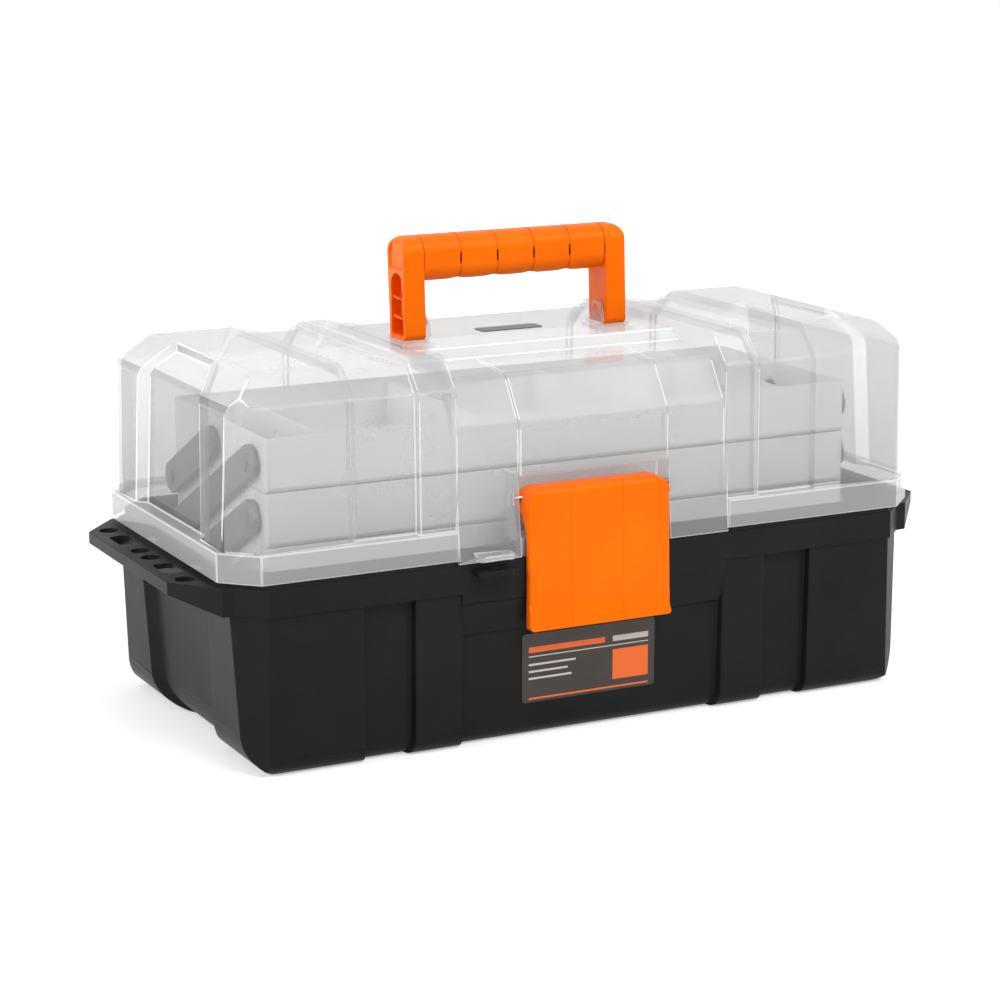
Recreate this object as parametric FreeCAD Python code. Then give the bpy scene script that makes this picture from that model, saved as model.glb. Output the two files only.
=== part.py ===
import FreeCAD, Part
import math
import os

os.makedirs("parts", exist_ok=True)

# A toolbox with a clear lid and three cantilever trays, in millimetres.
# X runs to the right along the front, Y to the rear and Z up from the surface it stands on.

# Tub
tub_half_x = 197.5
tub_half_y = 97.5
tub_height = 98.5
tub_wall = 2.2
tub_floor = 2.6
tub_end_draft = 3.5
tub_side_draft = 1.5
tub_end_radius = 21.0
tub_side_radius = 9.0
tub_corner_chamfer = 15.0
tub_end_recess = 5.0
tub_side_recess = 4.0
tub_end_step = 6.0
tub_side_step = 1.0
corner_panel_width = 65.5
rib_spacing = 29.0
rib_width = 25.5
end_panel_width = 47.5

# Rim of the tub, its seat for the lid and its upstanding lip
rim_overhang = 2.5
rim_proud = 1.5
rim_chamfer = 17.0
rim_depth = 15.0
rim_wall = 2.2
seat_height = 1.9
seat_edge = 0.9
lip_height = 5.6
lip_set_in = 4.0
lip_wall = 2.2
lip_chamfer = 16.0

# Tool flanges at both ends
flange_reach = 22.5
flange_corner_in = 36.1
flange_root_in = 12.5
flange_root_reach = 2.3
flange_root_depth = 8.0
flange_plate = 2.6
flange_edge = 6.4
flange_wall = 2.2
hole_radius = 5.25
hole_line_inset = 10.5
round_hole_in = 2.4
slot_corner_radius = 3.2
slot_length = 21.0
slot_spacing = 25.0
inner_hole_spacing = 26.0

# Latch block on the tub's front
block_beside_rib = 0.2
block_drop = 38.5
block_curve_height = 20.0
block_curve_depth = 4.0
block_curve_radius = 30.0
block_edge_radius = 2.0
block_root_depth = 9.0
block_hook_rise = 13.0
block_hook_depth = 3.0
block_notch_room = 2.5

# Lid
lid_rise = 106.0
lid_wall = 2.0
lid_rest_gap = 0.3
lid_lip_gap = 0.4
lid_overhang = 4.0
lid_front_overhang = 0.5
skirt_height = 15.3
skirt_step = 3.0
skirt_chamfer = 17.2
lid_shoulder_drop = 17.0
lid_shoulder_in = 15.5
lid_shoulder_radius = 9.0
lid_front_lean = 0.5
lid_rear_lean = 2.5
lid_end_lean = 2.5
lid_end_shoulder_in = 18.0
lid_end_radius = 8.0
lid_rear_inset = 12.5
lid_rear_top_inset = 34.5
lid_side_recess = 4.0
lid_end_recess = 5.0
lid_corner_chamfer = 14.0
lid_corner_radius = 5.0
recess_shoulder_share = 0.4
recess_rear_share = 0.8
lid_corner_panel_width = 63.0
lid_rib_spacing = 35.0
lid_rib_width = 21.0
hoop_front_width = 43.5
hoop_rear_width = 51.5
hoop_step = 6.0
centre_beside_rib = 1.0
centre_drop = 4.5
centre_step_back = 56.5
centre_step_run = 6.0
centre_step_depth = 5.5
centre_front_crease_in = 16.5
centre_front_crease_drop = 13.5
centre_front_radius = 6.0
centre_lower_crease_drop = 36.5
centre_lower_radius = 10.0
centre_rear_set_in = 3.0
centre_set_back = 1.5
panel_half_x = 43.5
panel_proud = 1.8
panel_crease_out = 1.1
panel_crease_up = 0.7
apron_height = 50.0

# Rear hinge
hinge_out = 4.5
hinge_height = 0.3
knuckle_radius = 4.0
knuckle_gap = 0.6
hinge_pin_radius = 2.0
hinge_from_end = 90.0
hinge_length = 50.0
lid_knuckle_length = 21.0
pin_clearance = 0.05
web_root_in = 5.6
web_bottom_out = 3.0
web_bottom_rise = 4.0
web_top_drop = 4.5
web_side_drop = 3.5
lid_web_half = 2.0
lid_web_rise = 10.0

# Latch, a cap with side walls
latch_half_x = 41.5
latch_pivot_in = 7.5
latch_pivot_rise = 30.0
latch_barrel_radius = 6.3
latch_cap_rise = 6.3
latch_front_out = 10.6
latch_wall = 2.4
latch_gap = 0.4
latch_flare = 2.6
latch_flare_height = 12.0
latch_flare_radius = 16.0
latch_top_radius = 5.0
latch_corner_radius = 10.0
latch_low_corner_radius = 2.0
latch_pin_radius = 1.5
latch_pin_seat = 3.5
latch_pin_seat_wall = 2.5
latch_pin_end_gap = 0.3
pocket_gap = 2.0
pocket_back_gap = 0.7
pocket_drop = 19.5
pocket_rise = 12.2
hook_half_x = 31.0
hook_depth = 2.6
hook_height = 4.6
hook_root = 2.0
hook_ramp = 1.5
hook_catch_gap = 0.4

# Padlock eye beside the latch
eye_x = -61.0
eye_half_x = 10.5
eye_reach = 7.5
eye_hole_radius = 3.0
eye_hole_out = 3.6
eye_corner_radius = 3.0
eye_thickness = 3.0
eye_drop = 6.0

# Handle
handle_inner_x = 54.5
handle_leg_x = 12.0
handle_front_y = -8.8
handle_rear_y = 11.0
handle_front_lean = 1.8
handle_rear_lean = 3.5
handle_foot_gap = 0.3
handle_rise = 54.0
grip_height = 24.6
grip_round = 9.5
grip_end_in = 4.0
handle_corner_radius = 7.0
scallop_count = 5
scallop_depth = 1.4
groove_width = 0.9
groove_depth = 0.35
channel_wall = 2.6
channel_depth = 9.0
channel_drop = 19.5
channel_corner_radius = 1.0
channel_rib = 1.8
channel_rib_rise = 10.4
channel_rib_set_in = 1.2
grip_end_recess = 0.9
handle_pivot_y = -1.5
handle_pivot_rise = 8.0
handle_foot_radius = 4.0
handle_heel_radius = 1.5
handle_lug_thickness = 3.0
handle_lug_gap = 0.4
handle_lug_radius = 4.2
handle_lug_foot = 6.5
handle_pin_radius = 2.0
well_depth = 2.4
well_gap = 1.2

# Badge on the lid and label on the tub
badge_half_x = 18.3
badge_half_y = 6.0
badge_y = 2.5
sheet_corner_radius = 2.0
sheet_thickness = 0.4
label_centre_x = -1.5
label_width = 79.0
label_height = 37.5
label_drop = 42.5

# Trays
arm_bay = 18.8
tray_front_gap = 23.0
tray_rear_gap = 27.3
tray_pitch = 28.2
tray_stack_gap = 0.2
tray_wall = 1.8
tray_floor = 1.8
tray_corner_radius = 3.0
tray_edge_radius = 3.0
partition_thickness = 1.6
partition_drop = 2.0
end_bay_width = 35.0

# Cantilever arms and their pins
pivot_centre_y = 2.0
pivot_set_in = 42.5
base_pivot_drop = 29.9
pivot_rise_in_tray = 13.9
arm_width = 17.0
arm_thickness = 4.5
arm_corner_cut = 4.5
arm_side_gap = 0.7
arm_boss_gap = 0.5
arm_pin_radius = 3.0
arm_pin_head_radius = 4.2
arm_pin_head = 1.5
arm_pin_end_radius = 4.4
arm_pin_end = 0.7
arm_pin_head_gap = 0.3
boss_radius = 7.5
boss_wall_bite = 1.2
boss_rib_thickness = 2.4
boss_rib_set_in = 2.0
boss_rib_drop = 26.0
boss_pin_depth = 8.0
boss_pin_end_gap = 0.2
tray_boss_radius = 6.0
tray_boss_height = 2.5

# Forms run on past what trims them by an overrun, and past a face that they cut or join by a bite
far = 400.0
overrun = 20.0
bite = 1.0
hair = 0.5

# Places that follow from the sizes above
rim_half_x = tub_half_x + rim_overhang
rim_half_y = tub_half_y + rim_proud
rim_bottom = tub_height - rim_depth
seat_top = tub_height + seat_height
lip_top = seat_top + lip_height
lip_half_x = rim_half_x - lip_set_in
lip_half_y = rim_half_y - lip_set_in
corner_panel_inner_x = tub_half_x - corner_panel_width
rib_outer_x = corner_panel_inner_x - rib_spacing
rib_inner_x = rib_outer_x - rib_width
end_panel_inner_y = tub_half_y - end_panel_width
flange_x = rim_half_x + flange_reach
flange_half_y = tub_half_y - flange_corner_in
flange_root_half_y = tub_half_y - flange_root_in
round_hole_y = flange_half_y - round_hole_in
slot_y = round_hole_y - slot_spacing
inner_hole_y = slot_y - inner_hole_spacing
skirt_half_x = rim_half_x + lid_overhang
skirt_half_y = rim_half_y + lid_front_overhang
skirt_bottom = seat_top + lid_rest_gap
skirt_top = skirt_bottom + skirt_height
apron_bottom = tub_height + lid_rest_gap
apron_top = apron_bottom + apron_height
lid_half_x = skirt_half_x - skirt_step
lid_half_y = skirt_half_y - skirt_step
lid_top = tub_height + lid_rise
lid_shoulder = lid_top - lid_shoulder_drop
lid_corner_inner_x = tub_half_x - lid_corner_panel_width
lid_rib_outer_x = lid_corner_inner_x - lid_rib_spacing
lid_rib_inner_x = lid_rib_outer_x - lid_rib_width
hoop_front_y = hoop_front_width - lid_half_y
hoop_rear_y = lid_half_y - hoop_rear_width
centre_half_x = lid_rib_inner_x + centre_beside_rib
centre_top = lid_top - centre_drop
centre_low_top = centre_top - centre_step_depth
centre_step_rear_y = centre_step_back - lid_half_y
centre_step_front_y = centre_step_rear_y - centre_step_run
centre_front_crease_y = centre_front_crease_in - lid_half_y
centre_front_crease_z = lid_top - centre_front_crease_drop
centre_lower_crease_z = lid_top - centre_lower_crease_drop
hinge_y = skirt_half_y + hinge_out
hinge_z = skirt_bottom + hinge_height
hinge_station_x = rim_half_x - hinge_from_end
block_front = rim_half_y
block_half_x = rib_inner_x + block_beside_rib
block_bottom = tub_height - block_drop
block_hook_height = block_bottom + block_hook_rise
latch_pivot_y = latch_pivot_in - skirt_half_y
latch_pivot_z = tub_height + latch_pivot_rise
latch_back = -(block_front + latch_gap)
latch_front = latch_pivot_y - latch_front_out
latch_top = latch_pivot_z + latch_cap_rise
latch_bottom = block_bottom
latch_hook_bottom = block_hook_height - hook_catch_gap - hook_height
pocket_half_x = latch_half_x + pocket_gap
pocket_back = latch_pivot_y + latch_barrel_radius + pocket_back_gap
pocket_bottom = latch_pivot_z - pocket_drop
pocket_top = latch_pivot_z + pocket_rise
handle_outer_x = handle_inner_x + handle_leg_x
handle_top = centre_top + handle_rise
channel_top = handle_top - channel_drop
handle_pivot_z = centre_top + handle_pivot_rise
label_top = tub_height - label_drop
label_bottom = label_top - label_height
label_left_x = label_centre_x - label_width / 2
label_right_x = label_centre_x + label_width / 2
inner_end_x = tub_half_x - tub_end_recess - tub_wall
inner_side_y = tub_half_y - tub_side_recess - tub_wall
tray_half_x = inner_end_x - arm_bay
tray_front = tray_front_gap - inner_side_y
tray_rear = inner_side_y - tray_rear_gap
tray_height = tray_pitch - tray_stack_gap
partition_x = tray_half_x - end_bay_width
inner_partition_x = partition_x / 3
arm_x = tray_half_x + arm_side_gap
base_pivot_z = tub_height - base_pivot_drop
pivot_pitch_y = tub_half_y - pivot_set_in
pivot_front_y = pivot_centre_y - pivot_pitch_y
pivot_rear_y = pivot_centre_y + pivot_pitch_y


def corner_point(plane, a, b):
    if plane == "yz":
        return FreeCAD.Vector(0, a, b)
    if plane == "xz":
        return FreeCAD.Vector(a, 0, b)
    return FreeCAD.Vector(a, b, 0)


def outline(plane, corners):
    """A closed wire through corners (a, b) or (a, b, radius)."""
    count = len(corners)
    points = [corner_point(plane, c[0], c[1]) for c in corners]
    runs = []
    arcs = []
    for i in range(count):
        radius = corners[i][2] if len(corners[i]) > 2 else 0.0
        here = points[i]
        back = (points[i - 1] - here).normalize()
        ahead = (points[(i + 1) % count] - here).normalize()
        if radius <= 0:
            runs.append((here, here))
            arcs.append(None)
            continue
        half = back.getAngle(ahead) / 2
        cut = radius / math.tan(half)
        start = here + back * cut
        end = here + ahead * cut
        bisector = (back + ahead).normalize()
        middle = here + bisector * (radius / math.sin(half) - radius)
        runs.append((start, end))
        arcs.append(Part.Arc(start, middle, end).toShape())
    edges = []
    for i in range(count):
        if arcs[i] is not None:
            edges.append(arcs[i])
        start = runs[i][1]
        end = runs[(i + 1) % count][0]
        if start.distanceToPoint(end) > 1e-6:
            edges.append(Part.LineSegment(start, end).toShape())
    return Part.Wire(edges)


def block(plane, corners, low, high, inset=0.0):
    """An outline pushed along its normal from low to high, drawn in by inset."""
    face = Part.Face(outline(plane, corners))
    if inset:
        face = face.makeOffset2D(-inset)
    normal = {"yz": (1, 0, 0), "xz": (0, 1, 0), "xy": (0, 0, 1)}[plane]
    direction = FreeCAD.Vector(*normal)
    face.translate(direction * low)
    return face.extrude(direction * (high - low))


def box(x0, x1, y0, y1, z0, z1):
    return Part.makeBox(x1 - x0, y1 - y0, z1 - z0, FreeCAD.Vector(x0, y0, z0))


def rod(axis, centre, radius, low, high):
    """A round bar along an axis: centre gives the other two coordinates in order."""
    if axis == "x":
        start = FreeCAD.Vector(low, centre[0], centre[1])
        direction = FreeCAD.Vector(1, 0, 0)
    elif axis == "y":
        start = FreeCAD.Vector(centre[0], low, centre[1])
        direction = FreeCAD.Vector(0, 1, 0)
    else:
        start = FreeCAD.Vector(centre[0], centre[1], low)
        direction = FreeCAD.Vector(0, 0, 1)
    return Part.makeCylinder(radius, high - low, start, direction)


def join(shapes):
    whole = shapes[0]
    if len(shapes) > 1:
        whole = whole.fuse(shapes[1:])
    return whole.removeSplitter()


def common(shapes):
    whole = shapes[0]
    for shape in shapes[1:]:
        whole = whole.common(shape)
    return whole


def mirrored(shape, axis):
    normal = {"x": (1, 0, 0), "y": (0, 1, 0)}[axis]
    return shape.mirror(FreeCAD.Vector(0, 0, 0), FreeCAD.Vector(*normal))


def both_ways(shapes, axis):
    return shapes + [mirrored(shape, axis) for shape in shapes]


def octagon(half_x, half_y, chamfer):
    x = half_x - chamfer
    y = half_y - chamfer
    return [(half_x, -y), (half_x, y), (x, half_y), (-x, half_y),
            (-half_x, y), (-half_x, -y), (-x, -half_y), (x, -half_y)]


def ring(half_x, half_y, chamfer, wall, z0, z1):
    outer = block("xy", octagon(half_x, half_y, chamfer), z0, z1)
    inner = block("xy", octagon(half_x, half_y, chamfer), z0 - bite, z1 + bite, wall)
    return outer.cut(inner)


def save(shape, node):
    shape.exportStep("parts/" + node + ".step")


# Tub form: a drafted body with rounded lower edges, drawn in where the panels are recessed
def tub_body(depth_x, depth_y, inset, top):
    x_top = tub_half_x - depth_x
    y_top = tub_half_y - depth_y
    x_low = x_top - tub_end_draft
    y_low = y_top - tub_side_draft
    rise = (top - rim_bottom) / rim_bottom
    x_high = x_top + tub_end_draft * rise
    y_high = y_top + tub_side_draft * rise
    side = [(-y_high, top), (-y_low, 0, tub_side_radius), (y_low, 0, tub_side_radius), (y_high, top)]
    end = [(-x_high, top), (-x_low, 0, tub_end_radius), (x_low, 0, tub_end_radius), (x_high, top)]
    plan = octagon(tub_half_x - depth_x, tub_half_y - depth_y, tub_corner_chamfer)
    return common([
        block("yz", side, -far, far, inset),
        block("xz", end, -far, far, inset),
        block("xy", plan, -bite, top + bite, inset),
    ])


def side_column(x0, x1, face_y, depth, step, inset):
    """The plan of a raised front panel: x0 to x1 at its face, wider by the step where it meets the wall."""
    widening = overrun * step / depth
    near = face_y + overrun
    deep = face_y - overrun
    plan = [(x0 + widening, near), (x0 - widening, deep), (x1 + widening, deep), (x1 - widening, near)]
    return block("xy", plan, -far, far, inset)


def end_column(y0, y1, face_x, depth, step, inset):
    widening = overrun * step / depth
    plan = [(face_x + overrun, y0 + widening), (face_x - overrun, y0 - widening),
            (face_x - overrun, y1), (face_x + overrun, y1)]
    return block("xy", plan, -far, far, inset)


def tub_form(inset, top):
    core = tub_body(tub_end_recess, tub_side_recess, inset, top)
    full = tub_body(0, 0, inset, top)
    columns = [
        side_column(corner_panel_inner_x, far, tub_half_y, tub_side_recess, tub_side_step, inset),
        side_column(rib_inner_x, rib_outer_x, tub_half_y, tub_side_recess, tub_side_step, inset),
        end_column(end_panel_inner_y, far, tub_half_x, tub_end_recess, tub_end_step, inset),
    ]
    columns = both_ways(columns, "x")
    columns = both_ways(columns, "y")
    raised = [full.common(column) for column in columns]
    return join([core] + raised)


def inner_side_face_x(y, z):
    """Where the inside of the tub's end wall stands at a height, recessed or raised."""
    recess = tub_end_recess if abs(y) < end_panel_inner_y else 0.0
    lean = tub_end_draft * (rim_bottom - z) / rim_bottom
    return tub_half_x - recess - lean - tub_wall


# Base tub: one black moulding with its rim, tool flanges, latch block and arm bosses
def hole_pattern(x):
    tools = []
    for y in (-round_hole_y, -inner_hole_y, inner_hole_y, round_hole_y):
        tools.append(rod("z", (x, y), hole_radius, rim_bottom - bite, tub_height + bite))
    for y in (-slot_y, slot_y):
        half = slot_length / 2
        corner = slot_corner_radius
        plan = [(x - hole_radius, y - half, corner), (x + hole_radius, y - half, corner),
                (x + hole_radius, y + half, corner), (x - hole_radius, y + half, corner)]
        tools.append(block("xy", plan, rim_bottom - bite, tub_height + bite))
    return tools


def tool_flange():
    root_x = rim_half_x + flange_root_reach
    start_x = rim_half_x - flange_root_depth
    start_y = flange_root_half_y + bite
    plan = [(start_x, -start_y), (root_x, -flange_root_half_y), (flange_x, -flange_half_y),
            (flange_x, flange_half_y), (root_x, flange_root_half_y), (start_x, start_y)]
    whole = block("xy", plan, rim_bottom, tub_height)
    hollow_root_y = flange_root_half_y - flange_wall
    hollow_x = flange_x - flange_wall
    hollow_half_y = flange_half_y - bite
    hollow_plan = [(start_x - overrun, -hollow_root_y), (root_x - bite, -hollow_root_y),
                   (hollow_x, -hollow_half_y), (hollow_x, hollow_half_y),
                   (root_x - bite, hollow_root_y), (start_x - overrun, hollow_root_y)]
    hollow = block("xy", hollow_plan, rim_bottom - bite, tub_height - flange_plate)
    edge_z = tub_height - flange_edge
    slope = [(rim_half_x, rim_bottom - bite), (flange_x + bite, rim_bottom - bite),
             (flange_x + bite, edge_z), (flange_x, edge_z), (root_x, rim_bottom)]
    below = block("xz", slope, -far, far)
    flange = whole.cut(hollow).cut(below)
    for tool in hole_pattern(flange_x - hole_line_inset):
        flange = flange.cut(tool)
    return flange


def latch_block():
    face = -block_front
    root = block_root_depth - tub_half_y
    side = [(face, rim_bottom + bite), (face, block_bottom + block_curve_height, block_curve_radius),
            (face + block_curve_depth, block_bottom, block_edge_radius), (root, block_bottom),
            (root, rim_bottom + bite)]
    solid = block("yz", side, -block_half_x, block_half_x)
    hollow = block("yz", side, tub_wall - block_half_x, block_half_x - tub_wall, tub_wall)
    return solid, hollow


def arm_bosses():
    bosses = []
    face_x = arm_x + arm_thickness + arm_boss_gap
    half_rib = boss_rib_thickness / 2
    for y in (pivot_centre_y, pivot_rear_y):
        wall_x = inner_side_face_x(y, base_pivot_z) + boss_wall_bite
        boss = rod("x", (y, base_pivot_z), boss_radius, face_x, wall_x)
        rib = box(face_x + boss_rib_set_in, wall_x, y - half_rib, y + half_rib,
                  base_pivot_z - boss_rib_drop, base_pivot_z)
        bore = rod("x", (y, base_pivot_z), arm_pin_radius + pin_clearance / 2, face_x - bite,
                   face_x + boss_pin_depth + boss_pin_end_gap)
        bosses.append(join([boss, rib]).cut(bore))
    return bosses


def base_knuckles():
    """Four knuckles behind the rim, two at each hinge."""
    web_low = rim_bottom + web_bottom_rise
    profile = [(hinge_y - web_root_in, web_low), (rim_half_y + web_bottom_out, web_low),
               (hinge_y + knuckle_radius, hinge_z - web_side_drop), (hinge_y + knuckle_radius, hinge_z),
               (hinge_y - knuckle_radius, hinge_z), (hinge_y - web_root_in, hinge_z - web_top_drop)]
    knuckles = []
    reach = hinge_length / 2
    inner = lid_knuckle_length / 2 + knuckle_gap
    for low, high in ((-reach, -inner), (inner, reach)):
        web = block("yz", profile, hinge_station_x + low, hinge_station_x + high)
        barrel = rod("x", (hinge_y, hinge_z), knuckle_radius, hinge_station_x + low, hinge_station_x + high)
        knuckles.append(join([web, barrel]))
    return knuckles


def padlock_tab(z0, root_y):
    z1 = z0 + eye_thickness
    tip_y = -(skirt_half_y + eye_reach)
    plan = [(eye_x - eye_half_x, root_y), (eye_x - eye_half_x, tip_y, eye_corner_radius),
            (eye_x + eye_half_x, tip_y, eye_corner_radius), (eye_x + eye_half_x, root_y)]
    tab = block("xy", plan, z0, z1)
    hole = rod("z", (eye_x, -(skirt_half_y + eye_hole_out)), eye_hole_radius, z0 - bite, z1 + bite)
    return tab.cut(hole)


def make_base_tub():
    # Walls, rim, block and flanges, hollowed together
    outer = tub_form(0.0, tub_height)
    band = ring(rim_half_x, rim_half_y, rim_chamfer, rim_wall, rim_bottom, tub_height)
    flanges = both_ways([tool_flange()], "x")
    knuckles = both_ways(base_knuckles(), "x")
    block_solid, block_hollow = latch_block()
    tab = padlock_tab(tub_height - eye_drop, bite - rim_half_y)
    whole = join([outer, band, block_solid, tab] + flanges + knuckles)
    above_floor = box(-far, far, -far, far, tub_floor, far)
    whole = whole.cut(tub_form(tub_wall, tub_height + overrun).common(above_floor))
    notch_low = latch_hook_bottom - hook_catch_gap - block_notch_room
    notch = box(-hook_half_x - bite, hook_half_x + bite, -(block_front + bite),
                block_hook_depth - block_front, notch_low, block_hook_height)
    whole = whole.cut(block_hollow.common(box(-far, far, -far, far, -far, notch_low - tub_wall)))

    # The shelf bridges from the walls to the lip all round; the seat stops beside the latch
    shelf_wall = rim_half_y - lip_half_y + lip_wall
    shelf = ring(rim_half_x, rim_half_y, rim_chamfer, shelf_wall, tub_height - rim_wall, tub_height)
    seat = ring(rim_half_x - seat_edge, rim_half_y - seat_edge, rim_chamfer, shelf_wall - seat_edge,
                tub_height - bite, seat_top)
    seat = seat.cut(box(-centre_half_x - bite, centre_half_x + bite, -far, -lip_half_y, -far, far))
    lip = ring(lip_half_x, lip_half_y, lip_chamfer, lip_wall, tub_height - rim_wall, lip_top)
    pins = rod("x", (hinge_y, hinge_z), hinge_pin_radius + pin_clearance / 2, -far, far)
    clip = tub_form(0.0, tub_height)
    bosses = [boss.common(clip) for boss in both_ways(arm_bosses(), "x")]
    return join([whole.cut(notch).cut(pins), shelf, seat, lip] + bosses)


# Lid form: raised bands, recessed bands and the plain centre, each with its own side profile
def lid_side_profile(depth):
    front = lid_half_y - depth
    rear = skirt_half_y - lid_rear_inset - depth * recess_rear_share
    top = lid_top - depth
    shoulder = lid_shoulder - depth * recess_shoulder_share
    top_rear = skirt_half_y - lid_rear_top_inset - depth * recess_shoulder_share
    return [(-front, skirt_bottom - bite), (-front, skirt_top),
            (lid_front_lean - front, shoulder, lid_shoulder_radius),
            (lid_shoulder_in - lid_half_y, top, lid_shoulder_radius), (top_rear, top, lid_shoulder_radius),
            (rear - lid_rear_lean, shoulder, lid_shoulder_radius),
            (rear, skirt_top), (rear, skirt_bottom - bite)]


def lid_end_profile(depth, top):
    foot = lid_half_x - depth
    lean_x = foot - lid_end_lean
    top_x = lid_half_x - lid_end_shoulder_in - depth * recess_shoulder_share
    return [(foot, skirt_bottom - bite), (foot, skirt_top), (lean_x, lid_shoulder, lid_end_radius),
            (top_x, top, lid_end_radius), (-top_x, top, lid_end_radius),
            (-lean_x, lid_shoulder, lid_end_radius), (-foot, skirt_top), (-foot, skirt_bottom - bite)]


def lid_plan(depth):
    x = lid_half_x - depth
    front = depth - lid_half_y
    rear = skirt_half_y - lid_rear_inset - depth * recess_rear_share
    cut = lid_corner_chamfer
    corners = [(x, front + cut), (x, rear - cut), (x - cut, rear), (cut - x, rear),
               (-x, rear - cut), (-x, front + cut), (cut - x, front), (x - cut, front)]
    return [(corner[0], corner[1], lid_corner_radius) for corner in corners]


def lid_body(depth_side, depth_end, inset):
    return common([
        block("yz", lid_side_profile(depth_side), -far, far, inset),
        block("xz", lid_end_profile(depth_end, lid_top - depth_side), -far, far, inset),
        block("xy", lid_plan(max(depth_side, depth_end)), skirt_bottom, far, inset),
    ])


def centre_profile(proud):
    front = centre_set_back - lid_half_y - proud
    share = proud / panel_proud
    rear = skirt_half_y - lid_rear_inset - centre_rear_set_in
    top_rear = skirt_half_y - lid_rear_top_inset - centre_rear_set_in / 2
    crease_y = centre_front_crease_y - share * panel_crease_out
    crease_z = centre_front_crease_z + share * panel_crease_up
    return [(front, skirt_bottom - bite), (front, centre_lower_crease_z, centre_lower_radius),
            (crease_y, crease_z, centre_front_radius),
            (centre_step_front_y, centre_low_top), (centre_step_rear_y, centre_top),
            (top_rear, centre_top, centre_front_radius),
            (rear - centre_rear_set_in, lid_shoulder - centre_rear_set_in),
            (rear, skirt_top), (rear, skirt_bottom - bite)]


def lid_walls(inset):
    reach = lid_rib_inner_x + inset
    core = lid_body(lid_side_recess, lid_end_recess, inset).cut(box(-reach, reach, -far, far, 0, far))
    full = lid_body(0.0, 0.0, inset)
    end_x = lid_half_x - lid_end_shoulder_in
    band_plan = [(lid_corner_inner_x, -far), (end_x, -far), (end_x, far), (lid_corner_inner_x, far)]
    rib_plan = [(lid_rib_inner_x, -far), (lid_rib_outer_x, -far), (lid_rib_outer_x, far),
                (lid_rib_inner_x, far)]
    widening = overrun * hoop_step / lid_end_recess
    out = lid_half_x + overrun
    deep = lid_half_x - overrun
    hoop_front = [(lid_corner_inner_x, -far), (out, -far), (out, hoop_front_y - widening),
                  (deep, hoop_front_y + widening), (lid_corner_inner_x, hoop_front_y + widening)]
    hoop_rear = [(lid_corner_inner_x, hoop_rear_y - widening), (deep, hoop_rear_y - widening),
                 (out, hoop_rear_y + widening), (out, far), (lid_corner_inner_x, far)]
    columns = [block("xy", plan, -far, far, inset) for plan in (band_plan, rib_plan, hoop_front, hoop_rear)]
    columns = both_ways(columns, "x")
    raised = [full.common(column) for column in columns]
    centre = block("yz", centre_profile(0.0), -reach, reach, inset)
    panel_reach = panel_half_x - inset
    panel = block("yz", centre_profile(panel_proud), -panel_reach, panel_reach, inset)
    return join([core, centre, panel] + raised)


def lid_apron(inset):
    """The front of the lid round the latch, which runs down past the skirt to the rim."""
    back = overrun - lid_half_y
    profile = [(-skirt_half_y, apron_bottom - inset - bite), (centre_set_back - lid_half_y, apron_top),
               (back, apron_top), (back, apron_bottom - inset - bite)]
    reach = centre_half_x - inset
    return block("yz", profile, -reach, reach, inset)


def make_lid_shell():
    corners = octagon(skirt_half_x, skirt_half_y, skirt_chamfer)
    lip_clear_y = -(lip_half_y + lid_lip_gap)
    beside_lip = box(-centre_half_x, centre_half_x, -far, lip_clear_y, apron_bottom, far)
    above = box(-far, far, -far, far, skirt_bottom, far)
    skirt = block("xy", corners, skirt_bottom, skirt_top).cut(beside_lip)
    skirt_inner = block("xy", corners, skirt_bottom - bite, skirt_top - lid_wall, lid_wall).cut(beside_lip)
    apron = lid_apron(0.0).common(join([above, beside_lip]))
    outer = join([skirt, lid_walls(0.0).common(above), apron])
    inner = join([skirt_inner, lid_walls(lid_wall), lid_apron(lid_wall)])

    # The latch sits in a pocket, and each handle foot in a shallow well
    pocket = box(-pocket_half_x, pocket_half_x, -far, pocket_back, pocket_bottom, pocket_top)
    pocket_shell = box(-pocket_half_x - lid_wall, pocket_half_x + lid_wall, -far, pocket_back + lid_wall,
                       pocket_bottom - lid_wall, pocket_top + lid_wall)
    inner = inner.cut(pocket_shell)
    shell = outer.cut(inner).cut(pocket)
    behind_latch = lip_clear_y - lid_wall
    shell = shell.cut(box(-pocket_half_x, pocket_half_x, -far, behind_latch, -far, pocket_bottom + bite))
    extra = [box(-pocket_half_x - bite, pocket_half_x + bite, behind_latch, behind_latch + lid_wall,
                 apron_bottom, pocket_bottom)]
    wells = []
    well_floor = centre_top - well_depth
    for side in (-1, 1):
        x0, x1 = sorted((side * (handle_inner_x - well_gap), side * (handle_outer_x + well_gap)))
        y0 = handle_front_y - well_gap
        y1 = handle_rear_y + well_gap
        extra.append(box(x0 - lid_wall, x1 + lid_wall, y0 - lid_wall, y1 + lid_wall, well_floor - lid_wall,
                         centre_top - hair))
        wells.append(box(x0, x1, y0, y1, well_floor, centre_top + bite))
        extra.append(handle_lug(side))
    extra.append(padlock_tab(skirt_bottom, bite - skirt_half_y))
    extra += both_ways([lid_knuckle()], "x")
    extra += both_ways([latch_pin_boss()], "x")
    shell = join([shell] + extra)
    for well in wells:
        shell = shell.cut(well)
    hinge_bore = rod("x", (hinge_y, hinge_z), hinge_pin_radius + pin_clearance, -far, far)
    seat_reach = pocket_half_x + latch_pin_seat
    pin_bore = rod("x", (latch_pivot_y, latch_pivot_z), latch_pin_radius + pin_clearance / 2,
                   -seat_reach, seat_reach)
    return shell.cut(hinge_bore).cut(pin_bore)


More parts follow.
